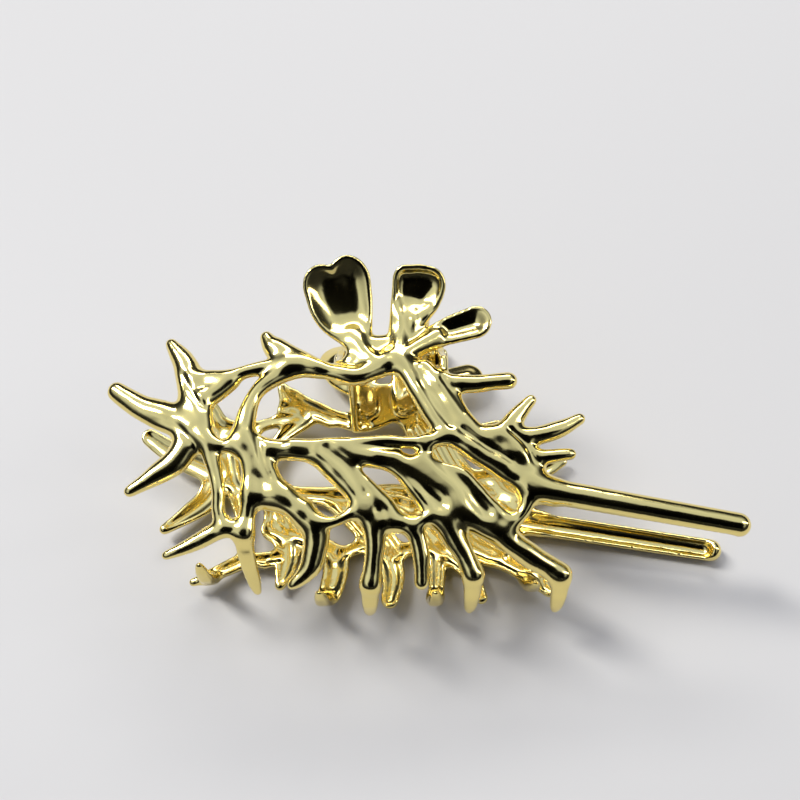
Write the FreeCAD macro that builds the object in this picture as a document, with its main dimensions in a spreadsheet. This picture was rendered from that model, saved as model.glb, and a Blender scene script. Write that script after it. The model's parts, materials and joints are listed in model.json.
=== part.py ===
"""Claw clip for hair: two cast openwork jaws on a riveted hinge pin, closed by a torsion spring.

The clip is drawn in its own design frame, in mm: X runs along the clip towards the two stems, +Y runs from
the teeth to the thumb petals, and the plane Z = 0 lies midway between the jaws, with the front jaw above it
and the rear jaw below. The hinge pin lies along X. Every finished piece then gets the same Placement, which
lays the closed clip on the back of its rear jaw as it rests on a table.
"""
import FreeCAD, Part
import math
import os

V = FreeCAD.Vector
X_AXIS = V(1, 0, 0)

DIMENSIONS = {
    # the whole clip
    "clip_length": 100,
    # the jaw's shell: a double-curved casting, drawn as a slice of a large ring
    "shell_top": 12.8,
    "shell_middle_x": -18,
    "shell_middle_y": 14,
    "shell_radius_across": 72,
    "shell_radius_along": 420,
    "shell_thickness": 2.6,
    # the thumb petals: three spoons that flare out of one trough
    "trough_bottom": 9.6,
    "trough_middle_x": 0,
    "trough_middle_y": 27,
    "trough_radius_across": 24,
    "trough_radius_along": 60,
    "trough_thickness": 2.0,
    # the round stem
    "stem_root_x": 17,
    "stem_root_y": 2.9,
    "stem_root_z": 9.8,
    "stem_tip_y": -4,
    "stem_tip_z": 8.2,
    "stem_root_radius": 2.1,
    "stem_tip_radius": 1.9,
    # the teeth
    "tooth_root_width": 3.0,
    "tooth_tip_width": 2.0,
    "tooth_root_depth": 2.2,
    "tooth_tip_depth": 1.0,
    "tooth_tip_height": -1.0,
    # the hinge: each lug is an eye round the pin and a web that leans down to the jaw
    "hinge_y": 30,
    "pin_radius": 1.0,
    "pin_head_radius": 1.7,
    "pin_head_height": 0.6,
    "pin_clearance": 0.05,
    "lug_radius": 2.6,
    "lug_thickness": 1.3,
    "lug_side_gap": 0.2,
    "lug_web_height": 12.2,
    "lug_web_width": 4.4,
    "lug_web_lean": 7.2,
    "left_lug_x": -13.4,
    "right_lug_x": 5.1,
    # the spring
    "wire_radius": 0.5,
    "coil_radius": 2.0,
    "coil_whole_turns": 10,
    "coil_pitch": 1.1,
    "leg_angle": 48,
    "leg_length": 10.8,
    # the closed clip at rest on a table, on the flat that is polished on the crest of each shell
    "rest_tilt": 6.55,
    "rest_roll": 1.88,
    "rest_shift_x": 0.04,
    "rest_shift_y": -14.71,
    "rest_lift": 12.17,
}

# Branches of a jaw, seen square on, for a clip 100 long. Each point is (x, y, half the branch's width).
BRANCHES = [
    # left lobe with its three long spikes
    [(-48.4, 22.1, 1.6), (-44.5, 19.2, 2.2), (-41, 17.5, 2.7), (-36, 15, 3.1)],
    [(-45.2, 5, 0.9), (-41.5, 7.2, 1.7), (-38, 10, 2.4), (-36, 13.5, 2.9)],
    [(-40, 30.2, 1.0), (-37.6, 26.3, 2.1), (-36, 21, 2.7), (-36, 15.5, 3.0)],
    [(-34.5, 19, 1.6), (-33, 11.5, 1.6), (-31.5, 5, 1.1), (-31.5, 1.5, 1.1), (-30.5, -1.3, 1.3)],
    [(-34, 13, 1.6), (-30.8, 11.3, 1.0), (-28, 11.8, 1.6)],
    [(-34.5, 19.5, 2.0), (-32.2, 20.8, 1.9), (-30, 22.2, 1.6)],
    # arm over to the upright spike, and the curved strip beside the window
    [(-35.5, 23, 2.1), (-31, 23, 1.5), (-27.5, 24, 1.1), (-24.5, 24.7, 1.2), (-21, 25, 1.7)],
    [(-24.3, 30.4, 1.1), (-23, 28, 1.8), (-20.5, 25, 2.2)],
    [(-22.2, 28.6, 1.4), (-19.2, 26.2, 1.6), (-15.8, 24, 1.4)],
    [(-20.5, 24.5, 1.9), (-25.2, 20.6, 1.3), (-27, 17, 1.5), (-28, 12, 2.2)],
    # lower left spike
    [(-27.5, -1.5, 1.3), (-30.5, -1.4, 1.3), (-34.5, -3, 1.4), (-37.5, -4.3, 1.0), (-39.5, -5, 0.7)],
    # midrib, with a narrow slit under its right half
    [(-28, 12, 2.1), (-22.5, 10.5, 1.6), (-16, 9.5, 1.8), (-12, 9, 1.9)],
    [(-20, 10.8, 0.8), (-12, 10.8, 0.9), (-5.5, 10.9, 0.9), (-0.5, 10.4, 1.1), (4.5, 11.3, 1.5)],
    [(-12, 9.3, 1.6), (-5, 7.8, 1.7), (-1, 6.4, 2.0)],
    [(0.8, 10, 1.0), (0.6, 7, 1.1)],
    # upper halves of the fingers
    [(-27.5, 12.5, 2.2), (-26.5, 8, 1.6), (-26.4, 4, 1.5)],
    [(-25, 9.5, 2.0), (-23.8, 5.7, 2.2), (-21.9, 3.3, 2.2), (-18.8, 0.7, 2.2)],
    [(-26, 3.7, 1.9), (-23.5, 3.1, 2.2), (-21, 2.8, 2.0)],
    [(-15.5, 9, 1.9), (-11, 4, 2.0), (-9, 0.5, 1.8)],
    [(-12.5, 8.5, 1.5), (-10, 5, 1.5), (-6, 1, 1.6), (-5, -1.7, 1.5)],
    [(-4, 7.5, 1.6), (0.3, 2, 2.0), (3, -1.3, 2.1)],
    [(0, 4.5, 1.8), (3, 1.8, 1.9), (5, 0, 1.9)],
    [(-0.5, 7, 1.4), (2.5, 5, 2.2), (8, 0.3, 2.6), (11, -2.3, 2.3)],
    [(0.5, 7, 0.9), (6, 5, 1.2), (10, 0.3, 1.2), (13, -2, 1.1)],
    # right-hand band of two pleats, with its prong
    [(-3.5, 25.5, 1.6), (-2, 23.6, 1.6), (1.2, 17.2, 1.9),
     (3.9, 13, 1.8), (10.5, 7.5, 2.1), (16, 3.7, 1.9)],
    [(1, 23.4, 1.5), (4, 19.5, 2.0), (6.2, 14.7, 2.0), (9, 11.3, 1.9), (13, 8, 2.0)],
    [(3.5, 20.8, 1.7), (9, 20.2, 1.5), (14.5, 20.7, 1.5)],
    # star with three spikes, and the fork under the stem
    [(12.5, 11.5, 1.6), (15.5, 14.6, 1.4), (17.8, 16.9, 1.05)],
    [(11, 11.5, 1.8), (17, 11, 1.6), (22, 12.2, 1.4), (25.3, 13.7, 1.05)],
    [(14, 9.5, 2.0), (18, 7.8, 1.3), (23.3, 7.9, 1.0)],
    [(13.5, 10.5, 2.0), (15.5, 8, 2.7), (17.5, 3.9, 2.2)],
    [(16.5, 2.7, 1.9), (15.3, -0.5, 1.1), (13, -3, 1.2)],
    [(16, 3.6, 1.9), (20, 2.4, 2.1)],
]

# The collar between the petals.
COLLAR = [
    [(-10.5, 25.5, 1.5), (-6, 27, 1.9), (-2.5, 26.5, 1.7)],
    [(-9.5, 28, 1.4), (-6, 28.8, 1.4), (-2.5, 28.5, 1.4)],
]

# What only the front jaw has: its top bar and the lower halves of its fingers.
FRONT_BRANCHES = [
    [(-20.5, 24.7, 1.9), (-15.5, 23.7, 1.5), (-10, 22.2, 1.7),
     (-7.5, 23.2, 1.8), (-5, 24.5, 2.0), (-2.5, 24.4, 1.8)],
    [(-26.4, 4.5, 1.5), (-27, 1, 1.4), (-27.6, -2.2, 1.5)],
    [(-18.8, 0.7, 2.2), (-16.8, -2.2, 2.3), (-16.8, -5, 2.1),
     (-17.8, -7.8, 1.7), (-19.4, -9.4, 1.2), (-20.6, -10.2, 0.7)],
    [(-16.8, -1, 1.3), (-14.3, -1.4, 0.9), (-12, -0.5, 1.1), (-9.5, 0.8, 1.6)],
    [(-9, 0.5, 1.8), (-7.8, -2.5, 1.8), (-7.9, -5.5, 1.6), (-8.7, -10.5, 1.5)],
    [(-7, -1.5, 1.4), (-4, -1.6, 1.5), (-1.7, -3, 1.5), (-0.9, -6, 1.4), (-1, -10.5, 1.2)],
    [(-2, -2.6, 1.2), (0, -1.5, 1.0), (2.5, -0.5, 1.4)],
    [(3, -1.3, 2.1), (4.3, -4, 2.0), (5.9, -7, 1.7), (6.9, -9.7, 1.6)],
    [(4.5, 0.5, 2.2), (10.5, -3, 2.3), (14.5, -6.2, 2.0), (20.2, -9.9, 1.9)],
]

# What only the rear jaw has. Its fingers stand between those of the front jaw.
REAR_BRANCHES = [
    [(-24, 26.5, 1.5), (-20.5, 26.3, 1.7), (-16, 24.8, 1.6),
     (-12, 23.4, 1.6), (-8.5, 23.2, 1.8), (-3.5, 25.5, 1.6)],
    [(-26.4, 4.5, 1.6), (-24, 2, 2.1), (-23.4, -1, 2.1), (-23.9, -4, 1.7), (-24.7, -6.2, 1.0)],
    [(-27.5, -1.5, 1.3), (-25, -1, 1.3)],
    [(-18.8, 0.7, 2.2), (-15.9, -1, 2.3), (-15.2, -4, 2.4), (-16.2, -8, 2.1)],
    [(-15.3, -2, 1.5), (-12.5, -0.3, 1.3), (-9, 0.8, 1.7)],
    [(-9, 0.5, 1.9), (-6.2, -2.5, 2.1), (-5.5, -6, 2.1), (-6.2, -9.8, 1.5)],
    [(-5, -1.7, 1.4), (-1.5, -0.6, 1.3), (1.7, -1.5, 1.5), (2, -5, 1.5), (1.5, -9.7, 1.3)],
    [(3, -1.3, 2.1), (5.5, -3.5, 1.8), (7.7, -6.5, 1.5), (9, -10.3, 1.1)],
    [(4.5, 0.5, 2.2), (11, -2.8, 1.9), (15, -5, 1.8), (20.2, -9.6, 1.4)],
]

# Petals of a jaw, drawn the same way.
PETALS = [
    # heart of two lobes on one stalk
    [(-8.7, 25.5, 1.4), (-10.4, 29.5, 2.0), (-13.1, 33.5, 3.5), (-14.5, 37.3, 3.5)],
    [(-8.7, 25.5, 1.4), (-9.2, 30, 2.2), (-10.1, 35, 3.5), (-10.3, 38.6, 3.6)],
    [(-9.3, 29, 1.8), (-11.2, 33, 3.0), (-12.3, 35.8, 3.4)],
    # cup on a ribbed neck
    [(-2.3, 25.5, 1.5), (-2.4, 30, 1.8), (-1.6, 35, 2.2), (-1.2, 38.8, 2.0)],
    [(-2, 27, 1.5), (-0.5, 32.5, 2.5), (1.5, 36.2, 3.4), (2.8, 37.6, 2.8)],
    [(-1, 38.6, 2.1), (1.2, 38.8, 2.1), (3.2, 38.2, 2.0)],
    # spoon
    [(-1.5, 26, 1.6), (2, 28.7, 1.7), (5.5, 30.2, 2.4), (10, 31.2, 2.8)],
]

# Teeth at the finger ends: (x, y) of the root and (x, y) of the tip.
FRONT_TEETH = [
    (-27.8, -2.6, -27, -9.4), (-8.8, -10.5, -9.3, -13.3),
    (6.9, -9.8, 6.4, -13.7), (20.3, -10.2, 19.9, -14.2),
]
REAR_TEETH = [
    (-36.5, -4.5, -36.4, -4.4), (-17, -9, -17.2, -9.8),
    (1.3, -10, 1.3, -10.7), (17, -8, 17.2, -9.9),
]


def make_sheet(doc):
    """The spreadsheet that holds the driving dimensions."""
    sheet = doc.addObject("Spreadsheet::Sheet", "sheet")
    for row, (alias, value) in enumerate(DIMENSIONS.items(), start=1):
        sheet.set(f"A{row}", alias)
        sheet.set(f"B{row}", str(value))
        sheet.setAlias(f"B{row}", alias)
    doc.recompute()
    return sheet


def bind(obj, **formulas):
    """Ties an object's sizes to the sheet: every alias in a formula is looked up there."""
    for prop, formula in formulas.items():
        words = formula.split(" ")
        linked = [f"sheet.{word}" if word in DIMENSIONS else word for word in words]
        obj.setExpression(prop.replace("__", "."), " ".join(linked))
    return obj


def smooth_line(points):
    """A smooth curve through points, or a straight line through two."""
    curve = Part.BSplineCurve()
    curve.interpolate(points)
    return curve


def branch_face(points, unit):
    """The outline of one tapering branch with round ends, as a flat face at Z = 0."""
    centres = [V(x * unit, y * unit, 0) for x, y, _ in points]
    halves = [half * unit for _, _, half in points]
    spine = smooth_line(centres)
    left, right, tips = [], [], []
    for index, (centre, half) in enumerate(zip(centres, halves)):
        along = spine.tangent(spine.parameter(centre))[0]
        side = V(-along.y, along.x, 0) * half
        left.append(centre + side)
        right.append(centre - side)
        if index in (0, len(points) - 1):
            outward = -1 if index == 0 else 1
            tips.append(centre + along * half * outward)
    edges = [
        smooth_line(left).toShape(),
        Part.Arc(left[-1], tips[1], right[-1]).toShape(),
        smooth_line(right).toShape(),
        Part.Arc(right[0], tips[0], left[0]).toShape(),
    ]
    return Part.Face(Part.Wire(Part.__sortEdges__(edges)))


def make_outline(doc, name, branches, unit):
    """All branches of one casting joined into one flat openwork face."""
    faces = [branch_face(branch, unit) for branch in branches]
    outline = doc.addObject("Part::Feature", name)
    outline.Shape = faces[0].fuse(faces[1:]).removeSplitter()
    return outline


def make_prism(doc, name, outline):
    """The outline drawn straight out through the front jaw."""
    prism = doc.addObject("Part::Extrusion", name)
    prism.Base = outline
    prism.DirMode = "Custom"
    prism.Dir = V(0, 0, 1)
    prism.Solid = True
    return bind(prism, LengthFwd="shell_top * 2")


def make_shell(doc, sheet):
    """The domed shell: the slice between two rings whose axis runs along Y, with its crest polished flat."""
    rings = []
    for name, offset in (("shell_outside", "+"), ("shell_inside", "-")):
        ring = doc.addObject("Part::Torus", name)
        ring.Placement.Rotation = FreeCAD.Rotation(X_AXIS, 90)
        bind(
            ring,
            Radius1="shell_radius_along - shell_radius_across",
            Radius2=f"shell_radius_across {offset} shell_thickness / 2",
            Placement__Base__x="shell_middle_x",
            Placement__Base__y="shell_middle_y",
            Placement__Base__z="shell_top - shell_radius_along",
        )
        rings.append(ring)
    turn = FreeCAD.Rotation(X_AXIS, sheet.rest_tilt).multiply(FreeCAD.Rotation(V(0, 1, 0), sheet.rest_roll))
    under_crest = doc.addObject("Part::Box", "under_crest")
    under_crest.Placement = FreeCAD.Placement(turn.multVec(V(-1, -1, 0) * sheet.clip_length), turn)
    bind(under_crest, Length="clip_length * 2", Width="clip_length * 2", Height="rest_lift")
    return make_common(doc, "shell", make_cut(doc, "shell_slice", *rings), under_crest)


def make_trough(doc):
    """What the petals are cut from: the slice between two rings that lie outside the jaw, so it flares."""
    rings = []
    for name, offset in (("trough_inside", "+"), ("trough_outside", "-")):
        ring = doc.addObject("Part::Torus", name)
        ring.Placement.Rotation = FreeCAD.Rotation(X_AXIS, 90)
        bind(
            ring,
            Radius1="trough_radius_along - trough_radius_across",
            Radius2=f"trough_radius_across {offset} trough_thickness / 2",
            Placement__Base__x="trough_middle_x",
            Placement__Base__y="trough_middle_y",
            Placement__Base__z="trough_bottom + trough_radius_along",
        )
        rings.append(ring)
    return make_cut(doc, "trough", *rings)


def make_cut(doc, name, base, tool):
    cut = doc.addObject("Part::Cut", name)
    cut.Base = base
    cut.Tool = tool
    return cut


def make_common(doc, name, first, second):
    common = doc.addObject("Part::MultiCommon", name)
    common.Shapes = [first, second]
    return common


def make_union(doc, name, parts):
    union = doc.addObject("Part::MultiFuse", name)
    union.Shapes = parts
    union.Refine = True
    return union


def make_stem(doc, sheet):
    """The long round stem, tapering to a ball end."""
    length = sheet.clip_length / 2 - sheet.stem_tip_radius - sheet.stem_root_x
    drop_y = sheet.stem_tip_y - sheet.stem_root_y
    drop_z = sheet.stem_tip_z - sheet.stem_root_z
    along = V(length, drop_y, drop_z)
    turn = FreeCAD.Rotation(V(0, 0, 1), along)
    root = V(sheet.stem_root_x, sheet.stem_root_y, sheet.stem_root_z)
    shaft = doc.addObject("Part::Cone", "stem_shaft")
    shaft.Placement = FreeCAD.Placement(root, turn)
    shaft.Height = along.Length
    bind(shaft, Radius1="stem_root_radius", Radius2="stem_tip_radius")
    ends = []
    balls = (("stem_root", root, "stem_root_radius"), ("stem_end", root + along, "stem_tip_radius"))
    for name, centre, size in balls:
        ball = doc.addObject("Part::Sphere", name)
        ball.Placement = FreeCAD.Placement(centre, turn)
        ends.append(bind(ball, Radius=size))
    return make_union(doc, "stem", [shaft] + ends)


def shell_height(sheet, x, y):
    """Height of the middle of the shell over the mid-plane."""
    across = math.sqrt(sheet.shell_radius_across ** 2 - (y - sheet.shell_middle_y) ** 2)
    reach = sheet.shell_radius_along - sheet.shell_radius_across + across
    rise = math.sqrt(reach ** 2 - (x - sheet.shell_middle_x) ** 2)
    return sheet.shell_top - sheet.shell_radius_along + rise


def make_tooth(doc, sheet, name, root_x, root_y, tip_x, tip_y):
    """One flat tapered tooth from a finger's end down past the mid-plane."""
    root = V(root_x, root_y, shell_height(sheet, root_x, root_y))
    tip = V(tip_x, tip_y, sheet.tooth_tip_height)
    tooth = doc.addObject("Part::Wedge", name)
    along = tip - root
    turn = FreeCAD.Rotation(X_AXIS, along, V(0, -1, 0), "YXZ")
    tooth.Placement = FreeCAD.Placement(root, turn)
    tooth.Ymin = 0
    tooth.Ymax = along.Length
    return bind(
        tooth,
        Xmin="tooth_root_width / -2",
        Xmax="tooth_root_width / 2",
        Zmin="tooth_root_depth / -2",
        Zmax="tooth_root_depth / 2",
        X2min="tooth_tip_width / -2",
        X2max="tooth_tip_width / 2",
        Z2min="tooth_tip_depth / -2",
        Z2max="tooth_tip_depth / 2",
    )


def make_lug(doc, name, left_edge, up):
    """One hinge lug: an eye round the pin and a web that leans down to the jaw. up is 1 or -1."""
    eye = doc.addObject("Part::Cylinder", f"{name}_eye")
    eye.Placement.Rotation = FreeCAD.Rotation(V(0, 1, 0), 90)
    bind(
        eye,
        Radius="lug_radius",
        Height="lug_thickness",
        Placement__Base__x=left_edge,
        Placement__Base__y="hinge_y",
    )
    web = doc.addObject("Part::Wedge", f"{name}_web")
    web.Placement.Rotation = FreeCAD.Rotation(X_AXIS, 90 * up)
    web.Xmin = 0
    web.X2min = 0
    web.Ymin = 0
    bind(
        web,
        Xmax="lug_thickness",
        X2max="lug_thickness",
        Ymax="lug_web_height",
        Zmin="lug_web_width / -2",
        Zmax="lug_web_width / 2",
        Z2min=f"lug_web_lean * {up} - lug_web_width / 2",
        Z2max=f"lug_web_lean * {up} + lug_web_width / 2",
        Placement__Base__x=left_edge,
        Placement__Base__y="hinge_y",
    )
    return [eye, web]


def make_bore(doc, name, gap):
    """The hole for the pin through a jaw's two lugs."""
    bore = doc.addObject("Part::Cylinder", name)
    bore.Placement.Rotation = FreeCAD.Rotation(V(0, 1, 0), 90)
    return bind(
        bore,
        Radius=f"pin_radius + {gap}",
        Height="clip_length",
        Placement__Base__x="clip_length / -2",
        Placement__Base__y="hinge_y",
    )


def make_jaw_blanks(doc, sheet):
    """What both jaws are made from, as the front jaw has them: the domed shell, the petals and the stem."""
    unit = sheet.clip_length / 100
    petal_prism = make_prism(doc, "petal_prism", make_outline(doc, "petal_outline", PETALS, unit))
    petals = make_common(doc, "petals", petal_prism, make_trough(doc))
    return make_shell(doc, sheet), petals, make_stem(doc, sheet)


def make_casting(doc, sheet, side, branches, teeth, blanks):
    """One jaw without its lugs, as a front jaw: its openwork cut from the shell, petals, stem and teeth."""
    shell, petals, stem = blanks
    outline = make_outline(doc, f"{side}_outline", BRANCHES + COLLAR + branches, sheet.clip_length / 100)
    openwork = make_common(doc, f"{side}_openwork", make_prism(doc, f"{side}_prism", outline), shell)
    pieces = [openwork, petals, stem]
    for index, ends in enumerate(teeth, start=1):
        pieces.append(make_tooth(doc, sheet, f"{side}_tooth_{index}", *ends))
    return pieces


def make_front_jaw(doc, sheet, blanks):
    pieces = make_casting(doc, sheet, "front", FRONT_BRANCHES, FRONT_TEETH, blanks)
    pieces += make_lug(doc, "front_left_lug", "left_lug_x", 1)
    pieces += make_lug(doc, "front_right_lug", "right_lug_x - lug_thickness", 1)
    solid = make_union(doc, "front_casting", pieces)
    return make_cut(doc, "front_jaw", solid, make_bore(doc, "front_bore", "pin_clearance"))


def make_rear_jaw(doc, sheet, blanks):
    mirrored = doc.addObject("Part::Mirroring", "rear_mirror")
    mirrored.Source = make_union(
        doc, "rear_half", make_casting(doc, sheet, "rear", REAR_BRANCHES, REAR_TEETH, blanks))
    mirrored.Normal = V(0, 0, 1)
    pieces = [mirrored]
    pieces += make_lug(doc, "rear_left_lug", "left_lug_x + lug_thickness + lug_side_gap", -1)
    pieces += make_lug(doc, "rear_right_lug", "right_lug_x - lug_thickness * 2 - lug_side_gap", -1)
    solid = make_union(doc, "rear_casting", pieces)
    return make_cut(doc, "rear_jaw", solid, make_bore(doc, "rear_bore", "0"))


def make_pin(doc):
    """The rivet pin: a shaft with a round head at each end."""
    shaft = doc.addObject("Part::Cylinder", "pin_shaft")
    shaft.Placement.Rotation = FreeCAD.Rotation(V(0, 1, 0), 90)
    gap = "lug_side_gap / 2"
    bind(
        shaft,
        Radius="pin_radius",
        Height="right_lug_x - left_lug_x + lug_side_gap",
        Placement__Base__x=f"left_lug_x - {gap}",
        Placement__Base__y="hinge_y",
    )
    pieces = [shaft]
    for name, place in (("left", f"left_lug_x - {gap} - pin_head_height"), ("right", f"right_lug_x + {gap}")):
        head = doc.addObject("Part::Cylinder", f"pin_head_{name}")
        head.Placement.Rotation = FreeCAD.Rotation(V(0, 1, 0), 90)
        pieces.append(
            bind(
                head,
                Radius="pin_head_radius",
                Height="pin_head_height",
                Placement__Base__x=place,
                Placement__Base__y="hinge_y",
            )
        )
    return make_union(doc, "hinge_pin", pieces)


def make_spring(doc, sheet):
    """The torsion spring: left-handed turns of wire round the pin, and a straight leg from each end.

    The rear leg leaves the left end for the heart petal and the front leg the right end for the cup petal,
    each at a tangent to the coil, so squeezing the petals together winds the coil tighter.
    """
    turns = sheet.coil_whole_turns + (180 - 2 * sheet.leg_angle) / 360
    height = turns * sheet.coil_pitch
    middle = (sheet.left_lug_x + sheet.right_lug_x) / 2
    helix = Part.makeHelix(sheet.coil_pitch, height, sheet.coil_radius, 0, True)
    helix.rotate(V(0, 0, 0), V(0, 0, 1), -90 - sheet.leg_angle)
    helix.rotate(V(0, 0, 0), V(1, 1, 1), 120)
    helix.translate(V(middle - height / 2, sheet.hinge_y, 0))
    coil = helix.Edges[0]
    left, right = coil.FirstParameter, coil.LastParameter
    legs = []
    for end, outward in ((left, -1), (right, 1)):
        start = coil.valueAt(end)
        tip = start + coil.tangentAt(end) * sheet.leg_length * outward
        legs.append(Part.LineSegment(start, tip).toShape())
    path = Part.Wire(Part.__sortEdges__([legs[0], coil, legs[1]]))
    free_end, bend = [vertex.Point for vertex in path.OrderedVertexes[:2]]
    section = Part.Wire(Part.makeCircle(sheet.wire_radius, free_end, bend - free_end))
    spring = doc.addObject("Part::Feature", "torsion_spring")
    spring.Shape = path.makePipeShell([section], True, True, 1)
    return spring


def rest_placement(sheet):
    """Lays the closed clip on the back of its rear jaw."""
    tilt = FreeCAD.Rotation(X_AXIS, sheet.rest_tilt)
    roll = FreeCAD.Rotation(V(0, 1, 0), sheet.rest_roll)
    shift = V(sheet.rest_shift_x, sheet.rest_shift_y, sheet.rest_lift)
    return FreeCAD.Placement(shift, roll.multiply(tilt))


def check(doc, pieces):
    """Stops if any object failed or any piece isn't one sound solid."""
    for obj in doc.Objects:
        if "Invalid" in obj.State or "Error" in obj.State:
            raise RuntimeError(f"{obj.Name} failed: {obj.State}")
    for piece in pieces:
        shape = piece.Shape
        if shape.isNull() or not shape.isValid() or len(shape.Solids) != 1:
            raise RuntimeError(f"{piece.Label} is not one valid solid")
        print(piece.Label, "volume", round(shape.Volume, 1), "faces", len(shape.Faces))


def main():
    doc = FreeCAD.newDocument("claw_clip")
    sheet = make_sheet(doc)
    blanks = make_jaw_blanks(doc, sheet)
    pieces = [
        make_front_jaw(doc, sheet, blanks),
        make_rear_jaw(doc, sheet, blanks),
        make_pin(doc),
        make_spring(doc, sheet),
    ]
    for piece in pieces:
        piece.Placement = rest_placement(sheet)
    doc.recompute()
    check(doc, pieces)
    os.makedirs("parts", exist_ok=True)
    for piece in pieces:
        piece.Shape.exportStep(f"parts/{piece.Label}.step")


main()
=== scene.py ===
"""The looks of the claw clip: two polished cast jaws, a riveted pin and a wire spring.

Both jaws are modelled in the clip's own design frame, in millimetres: X along the clip towards the stems,
+Y from the teeth to the petals, Z = 0 midway between the jaws and the front jaw above it. A jaw is a field of
distances on a grid: branches are blended together as soft as molten metal, their backs are hollowed, and the
zero surface becomes the mesh. The rest placement then moves it into the row's frame, in metres.
"""
import json
import math

import bpy
import numpy as np
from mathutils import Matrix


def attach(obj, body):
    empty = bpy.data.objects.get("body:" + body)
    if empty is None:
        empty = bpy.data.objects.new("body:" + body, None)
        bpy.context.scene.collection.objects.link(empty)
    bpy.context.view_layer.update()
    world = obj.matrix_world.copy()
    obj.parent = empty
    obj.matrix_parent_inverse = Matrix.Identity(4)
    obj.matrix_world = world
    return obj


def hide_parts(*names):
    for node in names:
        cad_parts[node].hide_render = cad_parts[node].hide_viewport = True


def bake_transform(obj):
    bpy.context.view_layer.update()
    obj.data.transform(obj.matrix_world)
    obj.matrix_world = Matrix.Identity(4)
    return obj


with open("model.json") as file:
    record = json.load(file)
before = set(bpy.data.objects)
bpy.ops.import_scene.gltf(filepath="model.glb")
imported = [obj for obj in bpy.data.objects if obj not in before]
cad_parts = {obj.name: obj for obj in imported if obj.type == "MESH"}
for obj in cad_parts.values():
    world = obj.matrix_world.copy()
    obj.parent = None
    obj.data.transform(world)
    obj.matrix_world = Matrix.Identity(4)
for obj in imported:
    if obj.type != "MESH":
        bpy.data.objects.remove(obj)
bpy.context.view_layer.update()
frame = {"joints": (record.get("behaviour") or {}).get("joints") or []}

import openvdb
from mathutils import Matrix, Vector

MM = 0.001

# --- the design frame, as the CAD model has it -------------------------------------------------------------
REST_TILT = math.radians(6.55)
REST_ROLL = math.radians(1.88)
REST_LIFT = 12.17
HINGE_MIDDLE = Vector((-4.15, 30.0, 0.0))
HINGE_JOINT = frame["joints"][0]

SHELL_TOP = 12.8
SHELL_MIDDLE = (-18.0, 14.0)
SHELL_RADIUS_ACROSS = 72.0
SHELL_RADIUS_ALONG = 420.0


def rest_placement():
    """From the design frame in mm to the row frame in m."""
    turn = Matrix.Rotation(REST_ROLL, 4, "Y") @ Matrix.Rotation(REST_TILT, 4, "X")
    shift = Vector(HINGE_JOINT["pos_m"]) - (turn @ HINGE_MIDDLE) * MM
    return Matrix.Translation(shift) @ turn @ Matrix.Scale(MM, 4)


REST = rest_placement()


def shell_height(x, y):
    """Height of the middle of the jaw's domed shell."""
    across = np.sqrt(SHELL_RADIUS_ACROSS**2 - (y - SHELL_MIDDLE[1]) ** 2)
    reach = SHELL_RADIUS_ALONG - SHELL_RADIUS_ACROSS + across
    return SHELL_TOP - SHELL_RADIUS_ALONG + np.sqrt(reach**2 - (x - SHELL_MIDDLE[0]) ** 2)


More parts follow.
